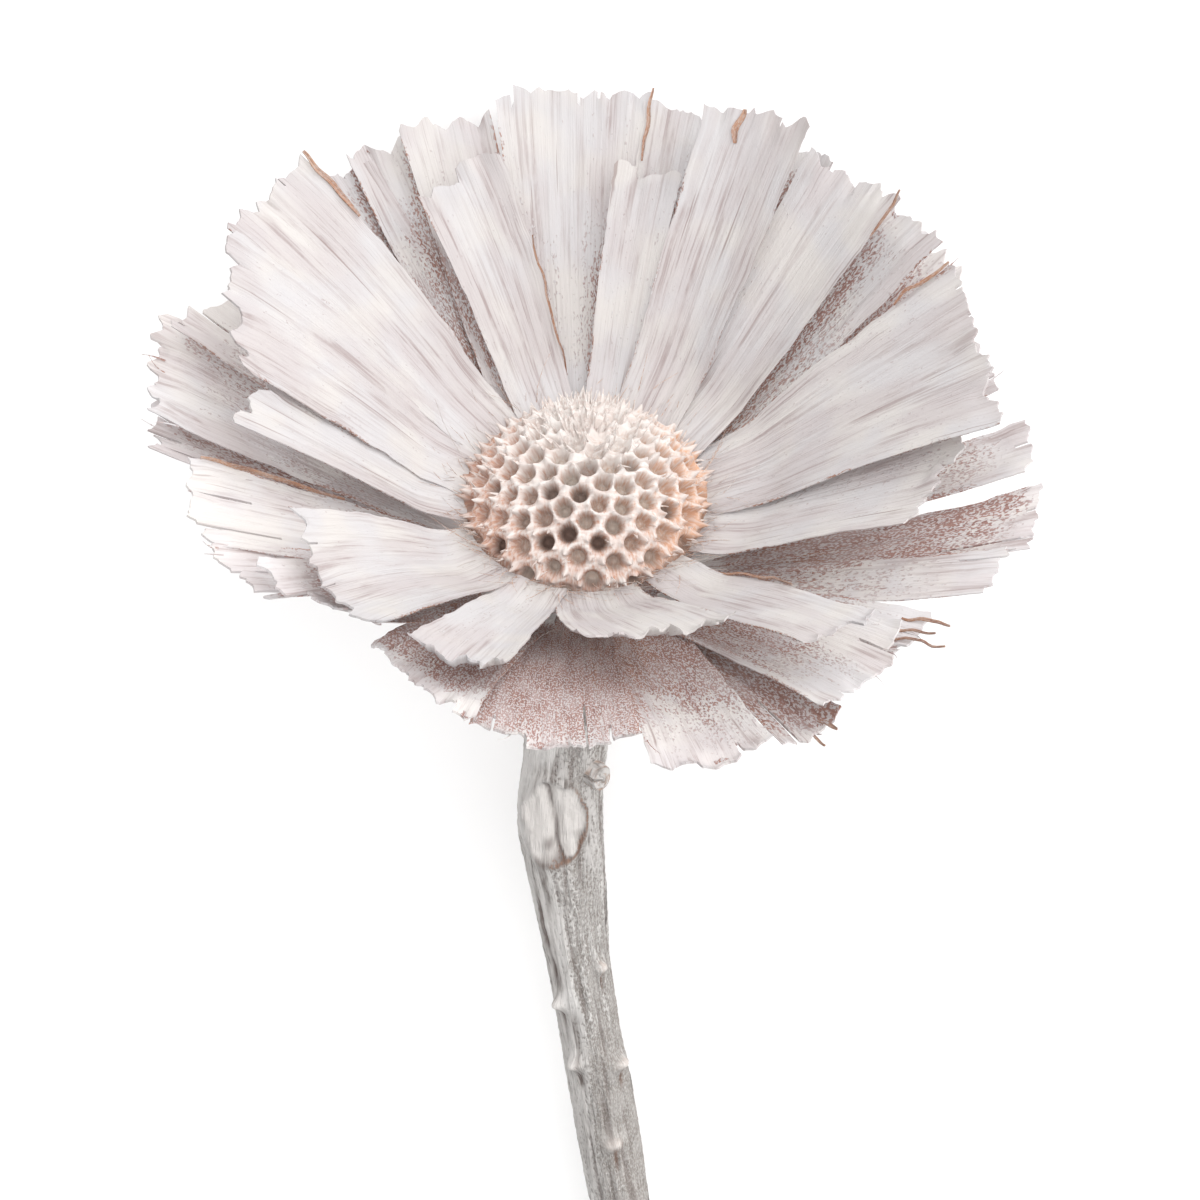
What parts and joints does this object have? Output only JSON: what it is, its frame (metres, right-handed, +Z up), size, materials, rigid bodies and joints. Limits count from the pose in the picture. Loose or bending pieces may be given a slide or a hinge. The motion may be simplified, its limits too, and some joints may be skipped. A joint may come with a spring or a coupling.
{
  "type": "dried protea flower",
  "caption": "Dried, white-washed protea flower: a flat rosette of sawn bracts round a pitted dome, on a cut woody stem, lying on its side.",
  "frame": {"origin": "middle of the bounding box at its lowest level, which is the surface that the flower lies on", "axes": "+Z up from the surface, +Y from the head towards the cut end of the stem, and the face of the flower looks up and towards -Y"},
  "size_m": [0.101, 0.2088, 0.0771],
  "materials": {
    "bark": "matte",
    "pitted_wood": "matte",
    "white_bract": "matte",
    "pink_bract": "matte",
    "brown_scale": "matte"
  },
  "bodies": {
    "root": {"stem": "bark", "receptacle": "pitted_wood", "inner_bracts": "white_bract", "outer_bracts": "pink_bract", "basal_scales": "brown_scale"}
  },
  "joints": []
}
